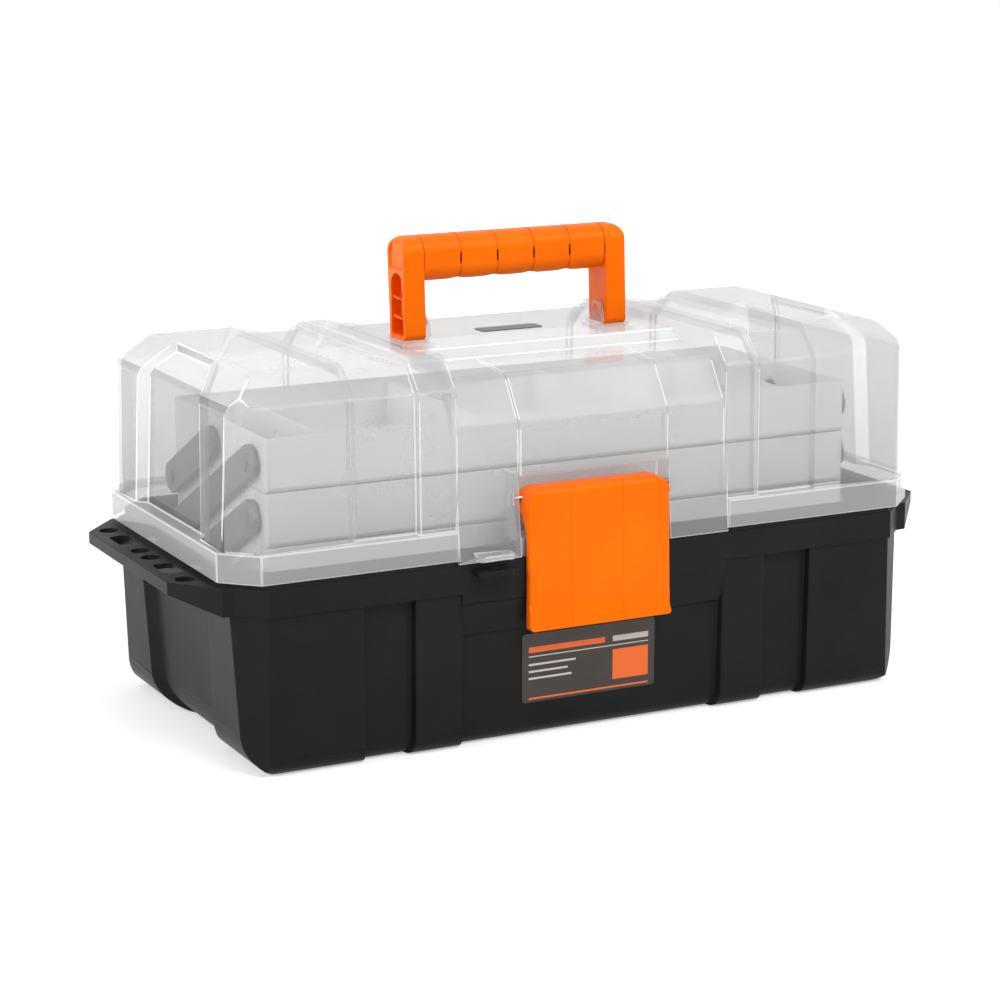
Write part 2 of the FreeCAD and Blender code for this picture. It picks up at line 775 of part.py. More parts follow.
def handle_lug(side):
    inner = handle_inner_x - handle_lug_gap - handle_lug_thickness
    outer = handle_inner_x - handle_lug_gap
    x0, x1 = sorted((side * inner, side * outer))
    profile = [(handle_pivot_y - handle_lug_foot, centre_top - hair),
               (handle_pivot_y - handle_lug_radius, handle_pivot_z),
               (handle_pivot_y + handle_lug_radius, handle_pivot_z),
               (handle_pivot_y + handle_lug_foot, centre_top - hair)]
    web = block("yz", profile, x0, x1)
    eye = rod("x", (handle_pivot_y, handle_pivot_z), handle_lug_radius, x0, x1)
    bore_radius = handle_pin_radius + pin_clearance / 2
    bore = rod("x", (handle_pivot_y, handle_pivot_z), bore_radius, x0 - bite, x1 + bite)
    return join([web, eye]).cut(bore)


def lid_knuckle():
    half = lid_knuckle_length / 2
    x0 = hinge_station_x - half
    x1 = hinge_station_x + half
    barrel = rod("x", (hinge_y, hinge_z), knuckle_radius, x0, x1)
    root = skirt_half_y - bite
    top = hinge_z + lid_web_rise
    web_rear = hinge_y + lid_web_half
    profile = [(root, hinge_z), (web_rear, hinge_z), (web_rear, hinge_z + web_side_drop),
               (skirt_half_y, top), (root, top)]
    return join([barrel, block("yz", profile, x0, x1)])


def latch_pin_boss():
    """Thickened seat for the latch pin in the pocket's side wall."""
    x1 = pocket_half_x + latch_pin_seat + lid_wall
    seat_radius = latch_pin_radius + latch_pin_seat_wall
    seat = rod("x", (latch_pivot_y, latch_pivot_z), seat_radius, pocket_half_x, x1)
    keep = box(-far, far, centre_set_back - lid_half_y + bite, far, 0, far)
    return seat.common(keep)


# Steel pins on which the lid turns
def make_lid_hinge_pins():
    reach = hinge_length / 2
    pin = rod("x", (hinge_y, hinge_z), hinge_pin_radius, hinge_station_x - reach, hinge_station_x + reach)
    return Part.makeCompound(both_ways([pin], "x"))


# Handle: one orange moulding with a lobed grip and channelled legs
def handle_side_profile(low, foot_radius, heel_radius):
    """The handle from the side: it widens and leans back towards the grip."""
    return [(handle_front_y, low, foot_radius), (handle_rear_y, low, heel_radius),
            (handle_rear_y + handle_rear_lean, handle_top, grip_round),
            (handle_front_y + handle_front_lean, handle_top, grip_round)]


def handle_leg():
    foot = centre_top + handle_foot_gap - well_depth + bite
    leg = block("yz", handle_side_profile(foot, handle_foot_radius, handle_heel_radius),
                handle_inner_x, handle_outer_x)
    channel_low = foot + channel_wall
    front = handle_front_y + channel_wall
    rear = handle_rear_y - channel_wall
    arch = (rear - front) / 2 - hair
    hollow = [(front, channel_low, channel_corner_radius), (rear, channel_low, channel_corner_radius),
              (rear + bite, channel_top, arch), (front + bite, channel_top, arch)]
    channel = block("yz", hollow, handle_outer_x - channel_depth, handle_outer_x + bite)
    reach = handle_outer_x - channel_rib_set_in
    half_rib = channel_rib / 2
    for step in (1, 2):
        z = centre_top + channel_rib_rise * step
        channel = channel.cut(box(0, reach, -far, far, z - half_rib, z + half_rib))
    channel = channel.cut(box(0, reach, handle_pivot_y - half_rib, handle_pivot_y + half_rib,
                              handle_pivot_z + handle_lug_radius, far))
    grip_end = block("yz", handle_side_profile(foot, handle_foot_radius, handle_heel_radius),
                     handle_outer_x - grip_end_recess, handle_outer_x + bite, channel_wall)
    grip_end = grip_end.common(box(0, far, -far, far, channel_top + channel_wall, far))
    bore = rod("x", (handle_pivot_y, handle_pivot_z), handle_pin_radius + pin_clearance, 0, far)
    return leg.cut(channel).cut(grip_end).cut(bore)


def grip_profile():
    """The grip from the side, within the legs' lean."""
    bottom = handle_top - grip_height
    front = handle_front_y + handle_front_lean
    rear = handle_rear_y + handle_rear_lean
    return [(front, bottom, grip_round), (rear, bottom, grip_round), (rear, handle_top, grip_round),
            (front, handle_top, grip_round)]


def make_handle():
    legs = both_ways([handle_leg()], "x")
    bottom = handle_top - grip_height
    profile = grip_profile()
    end_x = handle_outer_x - grip_end_in
    grip = block("yz", profile, -end_x, end_x)
    corner = handle_corner_radius
    ends = block("xz", [(-handle_outer_x, 0), (handle_outer_x, 0), (handle_outer_x, handle_top, corner),
                        (-handle_outer_x, handle_top, corner)], -far, far)
    width = 2 * handle_inner_x / scallop_count
    radius = width * width / (8 * scallop_depth) + scallop_depth / 2
    lobes = [box(-end_x, end_x, -far, far, bottom + scallop_depth, far)]
    for i in range(scallop_count):
        x = width * (i + 0.5) - handle_inner_x
        lobes.append(rod("y", (x, bottom + radius), radius, -far, far))
    grip = grip.common(join(lobes))
    half_groove = groove_width / 2
    for i in range(scallop_count + 1):
        x = width * i - handle_inner_x
        keep = block("yz", profile, x - half_groove, x + half_groove, groove_depth)
        ring = box(x - half_groove, x + half_groove, -far, far, bottom - bite, far).cut(keep)
        grip = grip.cut(ring)
    return join([grip] + legs).common(ends)


def make_handle_pins():
    """Stub pins, flush with the lid's lugs and hidden behind the legs' webs."""
    inner = handle_inner_x - handle_lug_gap - handle_lug_thickness
    outer = handle_outer_x - channel_depth - hair
    pin = rod("x", (handle_pivot_y, handle_pivot_z), handle_pin_radius, inner, outer)
    return Part.makeCompound(both_ways([pin], "x"))


# Latch: a cap hinged near its top on the lid, hooked under the notch in the tub's latch block
def make_latch():
    flare_z = latch_bottom + latch_flare_height
    flare_front = latch_front - latch_flare
    outside = [(latch_front, latch_top, latch_top_radius), (latch_front, flare_z, latch_flare_radius),
               (flare_front, latch_bottom), (latch_back, latch_bottom),
               (latch_back, pocket_bottom + pocket_gap),
               (latch_pivot_y, latch_pivot_z - latch_barrel_radius), (latch_pivot_y, latch_top)]
    barrel = rod("x", (latch_pivot_y, latch_pivot_z), latch_barrel_radius, -latch_half_x, latch_half_x)
    whole = join([block("yz", outside, -latch_half_x, latch_half_x), barrel])
    low_corner = latch_low_corner_radius
    face = [(-latch_half_x, latch_bottom, low_corner), (latch_half_x, latch_bottom, low_corner),
            (latch_half_x, latch_top, latch_corner_radius), (-latch_half_x, latch_top, latch_corner_radius)]
    whole = whole.common(block("xz", face, -far, far))
    inside_x = latch_half_x - latch_wall
    inside_top = latch_pivot_z - latch_barrel_radius
    inside = [(latch_front + latch_wall, inside_top), (latch_front + latch_wall, flare_z),
              (flare_front + latch_wall, latch_bottom - bite), (0, latch_bottom - bite), (0, inside_top)]
    hollow = block("yz", inside, -inside_x, inside_x)
    lug_front = latch_front + latch_wall - hair
    lug_back = latch_back + hook_depth
    hook_low = latch_hook_bottom
    hook = [(lug_front, hook_low - hook_root), (latch_back, hook_low - hook_root),
            (lug_back, hook_low + hook_ramp),
            (lug_back, hook_low + hook_height), (lug_front, hook_low + hook_height)]
    lug = block("yz", hook, -hook_half_x, hook_half_x)
    bore = rod("x", (latch_pivot_y, latch_pivot_z), latch_pin_radius + pin_clearance, -far, far)
    return join([whole.cut(hollow), lug]).cut(bore)


def make_latch_pin():
    reach = pocket_half_x + latch_pin_seat - latch_pin_end_gap
    return rod("x", (latch_pivot_y, latch_pivot_z), latch_pin_radius, -reach, reach)


# Badge and label: thin plain sheets
def make_lid_badge():
    low = badge_y - badge_half_y
    high = badge_y + badge_half_y
    plan = [(-badge_half_x, low, sheet_corner_radius), (badge_half_x, low, sheet_corner_radius),
            (badge_half_x, high, sheet_corner_radius), (-badge_half_x, high, sheet_corner_radius)]
    return block("xy", plan, centre_top, centre_top + sheet_thickness)


def front_wall_y(z):
    """The face of the tub's recessed front wall at a height."""
    return tub_side_recess + tub_side_draft * (rim_bottom - z) / rim_bottom - tub_half_y


def make_front_label():
    low = front_wall_y(label_bottom)
    high = front_wall_y(label_top)
    profile = [(low, label_bottom), (high, label_top), (high - sheet_thickness, label_top),
               (low - sheet_thickness, label_bottom)]
    sheet = block("yz", profile, label_left_x, label_right_x)
    corner = sheet_corner_radius
    face = [(label_left_x, label_bottom, corner), (label_right_x, label_bottom, corner),
            (label_right_x, label_top, corner), (label_left_x, label_top, corner)]
    return sheet.common(block("xz", face, -far, far))


# Trays: three alike, with partitions across
def tray_level(index):
    """Height of the pivots in tray 1, 2 or 3, counted from the bottom; 0 is the tub."""
    return base_pivot_z + tray_pitch * index


def tray_pivots(index):
    if index == 3:
        return [pivot_front_y, pivot_centre_y]
    return [pivot_front_y, pivot_centre_y, pivot_rear_y]


def make_tray(index):
    bottom = tray_level(index) - pivot_rise_in_tray
    top = bottom + tray_height
    plan = [(-tray_half_x, tray_front, tray_corner_radius), (tray_half_x, tray_front, tray_corner_radius),
            (tray_half_x, tray_rear, tray_corner_radius), (-tray_half_x, tray_rear, tray_corner_radius)]
    side = [(tray_front, top), (tray_front, bottom, tray_edge_radius), (tray_rear, bottom, tray_edge_radius),
            (tray_rear, top)]
    outer = block("xy", plan, bottom, top).common(block("yz", side, -far, far))
    inner = block("xy", plan, bottom + tray_floor, top + bite, tray_wall)
    parts = [outer.cut(inner)]
    for x in (-partition_x, -inner_partition_x, inner_partition_x, partition_x):
        half = partition_thickness / 2
        parts.append(box(x - half, x + half, tray_front + bite, tray_rear - bite, bottom + bite,
                         top - partition_drop))
    for y in tray_pivots(index):
        for x in (tray_wall / 2 - tray_half_x, tray_half_x - tray_wall / 2 - tray_boss_height):
            parts.append(rod("x", (y, tray_level(index)), tray_boss_radius, x, x + tray_boss_height))
    tray = join(parts)
    for y in tray_pivots(index):
        tray = tray.cut(rod("x", (y, tray_level(index)), arm_pin_radius + pin_clearance / 2, -far, far))
    return tray


# Arms: flat bars with nipped corners that keep the trays level
def make_arm(front_column, front_level, step_count, side):
    """An arm from its front pivot down to the rear, with a pivot at each step of column and level."""
    points = []
    for i in range(step_count + 1):
        points.append((pivot_front_y + pivot_pitch_y * (front_column + i), tray_level(front_level - i)))
    start = points[0]
    end = points[-1]
    length = math.hypot(end[0] - start[0], end[1] - start[1])
    angle = math.degrees(math.atan2(end[1] - start[1], end[0] - start[0]))
    half = arm_width / 2
    nip = half - arm_corner_cut
    x0 = arm_x if side > 0 else -arm_x - arm_thickness
    x1 = x0 + arm_thickness
    low = start[1] - half
    high = start[1] + half
    near = start[0] - half
    away = start[0] + length + half
    corners = [(start[0] - nip, low), (start[0] + length + nip, low),
               (away, start[1] - nip), (away, start[1] + nip),
               (start[0] + length + nip, high), (start[0] - nip, high),
               (near, start[1] + nip), (near, start[1] - nip)]
    arm = block("yz", corners, x0, x1)
    arm.rotate(FreeCAD.Vector(0, start[0], start[1]), FreeCAD.Vector(1, 0, 0), angle)
    for point in points:
        arm = arm.cut(rod("x", point, arm_pin_radius + pin_clearance, x0 - bite, x1 + bite))
    return arm


def tray_pin(side, y, z):
    """A headed pin from inside the tray, through its end wall and the arm."""
    inner = tray_half_x - tray_wall / 2 - tray_boss_height
    outer = arm_x + arm_thickness + arm_pin_head_gap
    pieces = [rod("x", (y, z), arm_pin_head_radius, inner - arm_pin_head, inner),
              rod("x", (y, z), arm_pin_radius, inner - hair, outer + hair),
              rod("x", (y, z), arm_pin_end_radius, outer, outer + arm_pin_end)]
    pin = join(pieces)
    return pin if side > 0 else mirrored(pin, "x")


def base_pin(side, y, z):
    """A headed pin from inside, through the arm into the tub's boss."""
    inner = arm_x - arm_pin_head_gap
    seat = arm_x + arm_thickness + arm_boss_gap
    pieces = [rod("x", (y, z), arm_pin_head_radius, inner - arm_pin_head, inner),
              rod("x", (y, z), arm_pin_radius, inner - hair, seat + boss_pin_depth)]
    pin = join(pieces)
    return pin if side > 0 else mirrored(pin, "x")


def make_tray_pins(index):
    pins = [tray_pin(side, y, tray_level(index)) for side in (-1, 1) for y in tray_pivots(index)]
    return Part.makeCompound(pins)


def make_base_pins():
    return Part.makeCompound([base_pin(side, y, base_pivot_z) for side in (-1, 1)
                              for y in (pivot_centre_y, pivot_rear_y)])


# Build every piece in the order of assembly
save(make_base_tub(), "base_tub")
save(make_base_pins(), "base_arm_pins")
tray_names = ["tray_bottom", "tray_middle", "tray_top"]
for number, tray_name in enumerate(tray_names, start=1):
    save(make_tray(number), tray_name)
    save(make_tray_pins(number), tray_name + "_pins")

# Each arm's front pivot, as its column and level, and its count of steps to the last pivot
arm_counts = {
    "arm_long_top": (0, 3, 2),
    "arm_short_top": (1, 3, 1),
    "arm_long_base": (0, 2, 2),
    "arm_short_base": (0, 1, 1),
}
for arm_name, (column, level, step_count) in arm_counts.items():
    save(make_arm(column, level, step_count, -1), arm_name + "_left")
    save(make_arm(column, level, step_count, 1), arm_name + "_right")

save(make_lid_shell(), "lid_shell")
save(make_lid_hinge_pins(), "lid_hinge_pins")
save(make_lid_badge(), "lid_badge")
save(make_handle(), "handle")
save(make_handle_pins(), "handle_pins")
save(make_latch(), "latch")
save(make_latch_pin(), "latch_pin")
save(make_front_label(), "front_label")
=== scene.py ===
import math

import bpy
from mathutils import Matrix, Vector


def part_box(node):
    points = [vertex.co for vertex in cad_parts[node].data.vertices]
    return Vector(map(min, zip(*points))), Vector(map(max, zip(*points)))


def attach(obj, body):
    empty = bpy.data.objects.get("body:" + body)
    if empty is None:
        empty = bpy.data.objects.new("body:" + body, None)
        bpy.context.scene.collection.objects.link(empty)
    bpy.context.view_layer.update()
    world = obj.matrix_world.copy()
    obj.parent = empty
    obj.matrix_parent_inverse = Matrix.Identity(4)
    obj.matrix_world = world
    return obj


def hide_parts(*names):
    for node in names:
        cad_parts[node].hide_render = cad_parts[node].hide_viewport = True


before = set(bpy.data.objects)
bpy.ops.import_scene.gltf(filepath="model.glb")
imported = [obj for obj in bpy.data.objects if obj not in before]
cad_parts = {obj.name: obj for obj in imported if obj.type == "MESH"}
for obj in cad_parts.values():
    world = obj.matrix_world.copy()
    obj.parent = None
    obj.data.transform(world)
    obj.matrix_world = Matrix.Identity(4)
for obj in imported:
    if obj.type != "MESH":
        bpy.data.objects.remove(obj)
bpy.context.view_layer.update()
bpy.ops.object.select_all(action="DESELECT")


# Base tub. One black polypropylene moulding: grained walls, rim, tool flanges and latch block.
# Its solid is right, so the piece is that form with the moulding's rounded edges.
def faces_of_edges(mesh):
    """The faces that meet at each edge."""
    faces = {}
    for polygon in mesh.polygons:
        for key in polygon.edge_keys:
            faces.setdefault(key, []).append(polygon)
    return faces


def part_flat_rings(mesh):
    """Seams at the middle planes, so that a flat ring, such as a rim, stays open when faces are joined."""
    parted = {}
    for key, sides in faces_of_edges(mesh).items():
        if len(sides) == 2:
            one, other = sides[0].center, sides[1].center
            parted[key] = (one.x > 0.0) != (other.x > 0.0) or (one.y > 0.0) != (other.y > 0.0)
    for edge in mesh.edges:
        edge.use_seam = parted.get(edge.key, False)


def moulded_skin(node, name, weld_distance=0.00001, flat_within=math.radians(0.1)):
    """A copy of the node's form, welded, with flat faces whole."""
    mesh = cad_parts[node].data.copy()
    piece = bpy.data.objects.new(name, mesh)
    bpy.context.collection.objects.link(piece)
    bpy.ops.object.select_all(action="DESELECT")
    bpy.context.view_layer.objects.active = piece
    piece.select_set(True)
    if mesh.has_custom_normals:
        bpy.ops.mesh.customdata_custom_splitnormals_clear()
    bpy.ops.object.mode_set(mode="EDIT")
    bpy.ops.mesh.select_all(action="SELECT")
    bpy.ops.mesh.remove_doubles(threshold=weld_distance)
    bpy.ops.object.mode_set(mode="OBJECT")
    part_flat_rings(mesh)
    bpy.ops.object.mode_set(mode="EDIT")
    bpy.ops.mesh.dissolve_limited(angle_limit=flat_within, delimit={"SEAM"})
    bpy.ops.object.mode_set(mode="OBJECT")
    mesh.materials.clear()
    return piece


def round_edges(piece, radius, segments, shortest, keep=None, material=-1, share=None):
    """Rounds the sharp edges that are long enough; keep picks among them, share scales the radius."""
    sharp_from = math.radians(24.0)
    smooth_below = math.radians(32.0)
    mesh = piece.data
    meeting = faces_of_edges(mesh)
    weights = mesh.attributes.new("bevel_weight_edge", "FLOAT", "EDGE")
    for edge in mesh.edges:
        start = mesh.vertices[edge.vertices[0]].co
        end = mesh.vertices[edge.vertices[1]].co
        sides = meeting.get(edge.key, [])
        if len(sides) != 2 or (end - start).length < shortest:
            continue
        if sides[0].normal.angle(sides[1].normal, 0.0) < sharp_from:
            continue
        middle = (start + end) / 2
        facing = (sides[0].normal + sides[1].normal).normalized()
        if keep and not keep(middle, facing):
            continue
        weights.data[edge.index].value = share(middle, facing) if share else 1.0
    rounding = piece.modifiers.new("rounded_edges", "BEVEL")
    rounding.width = radius
    rounding.segments = segments
    rounding.limit_method = "WEIGHT"
    rounding.use_clamp_overlap = False
    rounding.material = material
    bpy.ops.object.select_all(action="DESELECT")
    bpy.context.view_layer.objects.active = piece
    piece.select_set(True)
    bpy.ops.object.modifier_apply(modifier="rounded_edges")
    bpy.ops.object.shade_smooth_by_angle(angle=smooth_below)
    flattening = piece.modifiers.new("flat_faces", "WEIGHTED_NORMAL")
    flattening.keep_sharp = True
    bpy.ops.object.modifier_apply(modifier="flat_faces")


def new_material(name):
    """A material with its shader, and the Object coordinates that every pattern here reads."""
    material = bpy.data.materials.new(name)
    material.use_nodes = True
    tree = material.node_tree
    shader = tree.nodes["Principled BSDF"]
    coordinates = tree.nodes.new("ShaderNodeTexCoord")
    return material, tree, shader, coordinates


def make_grain_group():
    """Fine moulded grain with broad cloudiness: Height for a bump, Mottle from 0 to 1 for colour."""
    group = bpy.data.node_groups.new("moulded_grain", "ShaderNodeTree")
    group.interface.new_socket("Vector", in_out="INPUT", socket_type="NodeSocketVector")
    group.interface.new_socket("Grain Scale", in_out="INPUT", socket_type="NodeSocketFloat")
    group.interface.new_socket("Cloud Scale", in_out="INPUT", socket_type="NodeSocketFloat")
    group.interface.new_socket("Height", in_out="OUTPUT", socket_type="NodeSocketFloat")
    group.interface.new_socket("Mottle", in_out="OUTPUT", socket_type="NodeSocketFloat")
    inlet = group.nodes.new("NodeGroupInput")
    outlet = group.nodes.new("NodeGroupOutput")
    grain = group.nodes.new("ShaderNodeTexNoise")
    grain.inputs["Detail"].default_value = 3.0
    grain.inputs["Roughness"].default_value = 0.65
    cloud = group.nodes.new("ShaderNodeTexNoise")
    cloud.inputs["Detail"].default_value = 4.0
    cloud.inputs["Roughness"].default_value = 0.6
    group.links.new(inlet.outputs["Vector"], grain.inputs["Vector"])
    group.links.new(inlet.outputs["Vector"], cloud.inputs["Vector"])
    group.links.new(inlet.outputs["Grain Scale"], grain.inputs["Scale"])
    group.links.new(inlet.outputs["Cloud Scale"], cloud.inputs["Scale"])
    group.links.new(grain.outputs["Fac"], outlet.inputs["Height"])
    group.links.new(cloud.outputs["Fac"], outlet.inputs["Mottle"])
    return group


grain_group = make_grain_group()


def add_grain(tree, coordinates, shader, grain_scale, cloud_scale, strength, distance=0.0002,
              edge_softness=0.0005):
    """Places the grain in a material, wires its bump over softened edges, and returns its node."""
    grain = tree.nodes.new("ShaderNodeGroup")
    grain.node_tree = grain_group
    grain.inputs["Grain Scale"].default_value = grain_scale
    grain.inputs["Cloud Scale"].default_value = cloud_scale
    bump = tree.nodes.new("ShaderNodeBump")
    bump.inputs["Strength"].default_value = strength
    bump.inputs["Distance"].default_value = distance
    softened = tree.nodes.new("ShaderNodeBevel")
    softened.samples = 4
    softened.inputs["Radius"].default_value = edge_softness
    tree.links.new(softened.outputs["Normal"], bump.inputs["Normal"])
    tree.links.new(coordinates.outputs["Object"], grain.inputs["Vector"])
    tree.links.new(grain.outputs["Height"], bump.inputs["Height"])
    tree.links.new(bump.outputs["Normal"], shader.inputs["Normal"])
    return grain


def blend_colours(tree, mask, shader, low, high, low_at=0.35, high_at=0.65):
    """Colours the shader by a ramp from low to high across a mask, and returns the ramp."""
    ramp = tree.nodes.new("ShaderNodeValToRGB")
    ramp.color_ramp.elements[0].position = low_at
    ramp.color_ramp.elements[0].color = (*low, 1.0)
    ramp.color_ramp.elements[1].position = high_at
    ramp.color_ramp.elements[1].color = (*high, 1.0)
    tree.links.new(mask, ramp.inputs["Fac"])
    tree.links.new(ramp.outputs["Color"], shader.inputs["Base Color"])
    return ramp


def vary_roughness(tree, mask, shader, low, high, low_at=0.3, high_at=0.7):
    """Lets the roughness run from low to high across a mask."""
    spread = tree.nodes.new("ShaderNodeMapRange")
    spread.inputs["From Min"].default_value = low_at
    spread.inputs["From Max"].default_value = high_at
    spread.inputs["To Min"].default_value = low
    spread.inputs["To Max"].default_value = high
    tree.links.new(mask, spread.inputs["Value"])
    tree.links.new(spread.outputs["Result"], shader.inputs["Roughness"])


black_plastic, tree, shader, coordinates = new_material("black_grained_plastic")
grain = add_grain(tree, coordinates, shader, grain_scale=1500.0, cloud_scale=14.0, strength=0.35)
blend_colours(tree, grain.outputs["Mottle"], shader, (0.0078, 0.0078, 0.0080), (0.0118, 0.0118, 0.0122))
vary_roughness(tree, grain.outputs["Mottle"], shader, low=0.36, high=0.46)
shader.inputs["Specular IOR Level"].default_value = 0.10


rim_from = 0.08
rear_rim_from = 0.097
thin_lip_share = 0.4


def off_the_rear_rim(middle, facing):
    """The rear rim is cut up finely by the knuckles, and its edges stay as they are."""
    return middle.z < rim_from or middle.y < rear_rim_from


def tub_share(middle, facing):
    """The rim's lips are thin, so their edges are rounded less."""
    return thin_lip_share if middle.z > rim_from else 1.0


tub = moulded_skin("base_tub", "tub")
round_edges(tub, radius=0.0008, segments=2, shortest=0.0036, keep=off_the_rear_rim, share=tub_share)
tub.data.materials.append(black_plastic)
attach(tub, "base")
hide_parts("base_tub")


# Trays. Three frosted natural polypropylene mouldings, milky and slightly see-through.
# They hang on the arms' pins one above the other, and each has its partitions moulded in.
tray_plastic, tree, shader, coordinates = new_material("frosted_tray_plastic")
grain = add_grain(tree, coordinates, shader, grain_scale=900.0, cloud_scale=9.0, strength=0.2)
blend_colours(tree, grain.outputs["Mottle"], shader, (0.9, 0.905, 0.91), (0.94, 0.945, 0.95))
vary_roughness(tree, grain.outputs["Mottle"], shader, low=0.38, high=0.5)
shader.inputs["Alpha"].default_value = 0.74

for tray_name in ("tray_bottom", "tray_middle", "tray_top"):
    tray = moulded_skin(tray_name, tray_name + "_moulding")
    round_edges(tray, radius=0.0006, segments=2, shortest=0.0014)
    tray.data.materials.append(tray_plastic)
    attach(tray, tray_name)
    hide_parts(tray_name)


# Arms and their pins. Flat dark grey moulded bars, four at each end, on headed pins.
# The pins stay as the solids give them.
arm_plastic, tree, shader, coordinates = new_material("dark_arm_plastic")
grain = add_grain(tree, coordinates, shader, grain_scale=700.0, cloud_scale=20.0, strength=0.06)
blend_colours(tree, grain.outputs["Mottle"], shader, (0.10, 0.10, 0.102), (0.135, 0.135, 0.138))
vary_roughness(tree, grain.outputs["Mottle"], shader, low=0.35, high=0.48)

for arm_kind in ("arm_long_top", "arm_short_top", "arm_long_base", "arm_short_base"):
    for side in ("left", "right"):
        node = arm_kind + "_" + side
        arm = moulded_skin(node, node + "_bar")
        round_edges(arm, radius=0.0006, segments=2, shortest=0.0014)
        arm.data.materials.append(arm_plastic)
        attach(arm, node)
        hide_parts(node)

for pin_node in ("base_arm_pins", "tray_bottom_pins", "tray_middle_pins", "tray_top_pins"):
    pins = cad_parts[pin_node]
    pins.data.materials.clear()
    pins.data.materials.append(arm_plastic)


# Steel pins. Drawn wire, bright, with fine lengthwise marks.
# They hold the lid, the handle and the latch.
pin_steel, tree, shader, coordinates = new_material("drawn_pin_steel")
shader.inputs["Metallic"].default_value = 1.0
stretch = tree.nodes.new("ShaderNodeMapping")
stretch.inputs["Scale"].default_value = (40.0, 900.0, 900.0)
marks = tree.nodes.new("ShaderNodeTexNoise")
marks.inputs["Scale"].default_value = 1.0
tree.links.new(coordinates.outputs["Object"], stretch.inputs["Vector"])
tree.links.new(stretch.outputs["Vector"], marks.inputs["Vector"])
blend_colours(tree, marks.outputs["Fac"], shader, (0.30, 0.30, 0.31), (0.45, 0.45, 0.46))
vary_roughness(tree, marks.outputs["Fac"], shader, low=0.22, high=0.38)

for pin_node in ("lid_hinge_pins", "latch_pin"):
    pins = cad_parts[pin_node]
    pins.data.materials.clear()
    pins.data.materials.append(pin_steel)


# Lid. One clear polypropylene moulding, a little milky, glossy outside.
# Its bands and hoops are stepped. Its rounded edges are painted near white as highlight lines, its end
# walls are painted darker as shade, and its skirt is painted lighter, as painted light.
def clear_plastic(name, colour, alpha_face, alpha_edge, roughness=0.10, shade_share=0.25):
    """A milky clear plastic, denser at a slant, that lets most of the light through to the trays.
    Only the side of each wall that faces the viewer counts, so that a wall isn't seen twice."""
    material, tree, shader, coordinates = new_material(name)
    grain = add_grain(tree, coordinates, shader, grain_scale=260.0, cloud_scale=22.0, strength=0.05,
                      distance=0.0004, edge_softness=0.0008)
    darker = [value * 0.97 for value in colour]
    blend_colours(tree, grain.outputs["Mottle"], shader, darker, colour)
    shader.inputs["Roughness"].default_value = roughness
    shader.inputs["Specular IOR Level"].default_value = 0.35
    facing = tree.nodes.new("ShaderNodeLayerWeight")
    facing.inputs["Blend"].default_value = 0.3
    rays = tree.nodes.new("ShaderNodeLightPath")
    spread = tree.nodes.new("ShaderNodeMapRange")
    spread.inputs["To Min"].default_value = alpha_face
    spread.inputs["To Max"].default_value = alpha_edge
    tree.links.new(facing.outputs["Facing"], spread.inputs["Value"])
    passing = tree.nodes.new("ShaderNodeMapRange")
    passing.inputs["To Min"].default_value = 1.0
    passing.inputs["To Max"].default_value = shade_share
    milkiness = tree.nodes.new("ShaderNodeMath")
    milkiness.operation = "MULTIPLY"
    tree.links.new(rays.outputs["Is Shadow Ray"], passing.inputs["Value"])
    tree.links.new(spread.outputs["Result"], milkiness.inputs[0])
    tree.links.new(passing.outputs["Result"], milkiness.inputs[1])
    geometry = tree.nodes.new("ShaderNodeNewGeometry")
    outside = tree.nodes.new("ShaderNodeMath")
    outside.operation = "SUBTRACT"
    outside.inputs[0].default_value = 1.0
    once = tree.nodes.new("ShaderNodeMath")
    once.operation = "MULTIPLY"
    tree.links.new(geometry.outputs["Backfacing"], outside.inputs[1])
    tree.links.new(milkiness.outputs["Value"], once.inputs[0])
    tree.links.new(outside.outputs["Value"], once.inputs[1])
    tree.links.new(once.outputs["Value"], shader.inputs["Alpha"])
    return material


lid_clear = clear_plastic("clear_lid_plastic", (0.46, 0.465, 0.47), alpha_face=0.42, alpha_edge=0.62)
# The edges' copy is painted near white, as painted highlight lines along the rounded edges.
lid_painted_highlight = clear_plastic("clear_lid_painted_highlight", (0.88, 0.885, 0.89), alpha_face=0.55, alpha_edge=0.85,
                         roughness=0.08)
# The skirt's copy is painted lighter than the rest of the lid, as painted light.
lid_painted_light_skirt = clear_plastic("clear_lid_painted_light_skirt", (0.58, 0.585, 0.59), alpha_face=0.50, alpha_edge=0.74)
# The end walls' copy is painted much darker, as painted shade.
lid_painted_shade_end = clear_plastic("clear_lid_painted_shade_end", (0.13, 0.133, 0.137), alpha_face=0.54, alpha_edge=0.70)
painted_highlight_slot = 1
painted_light_slot = 2
painted_shade_slot = 3
lid_skirt_top = 0.1165
lid_ends_from = 0.17
faces_endwards = 0.8
lid_middle = Vector((0.0, 0.0, 0.14))


def faces_outward(middle, facing):
    """True where an edge lies on the outside of the lid's wall."""
    return facing.dot(middle - lid_middle) > 0.0


lid = moulded_skin("lid_shell", "lid")
for part_material in (lid_clear, lid_painted_highlight, lid_painted_light_skirt, lid_painted_shade_end):
    lid.data.materials.append(part_material)
for polygon in lid.data.polygons:
    # Faces below the skirt's top take the copy painted lighter.
    if max(lid.data.vertices[corner].co.z for corner in polygon.vertices) < lid_skirt_top:
        polygon.material_index = painted_light_slot
    # Faces turned to the ends take the copy painted darker as shade.
    elif abs(polygon.normal.x) > faces_endwards and abs(polygon.center.x) > lid_ends_from:
        polygon.material_index = painted_shade_slot
# The rounded outer edges take the copy painted as highlight lines.
round_edges(lid, radius=0.0008, segments=2, shortest=0.004, keep=faces_outward, material=painted_highlight_slot)
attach(lid, "lid")
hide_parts("lid_shell")


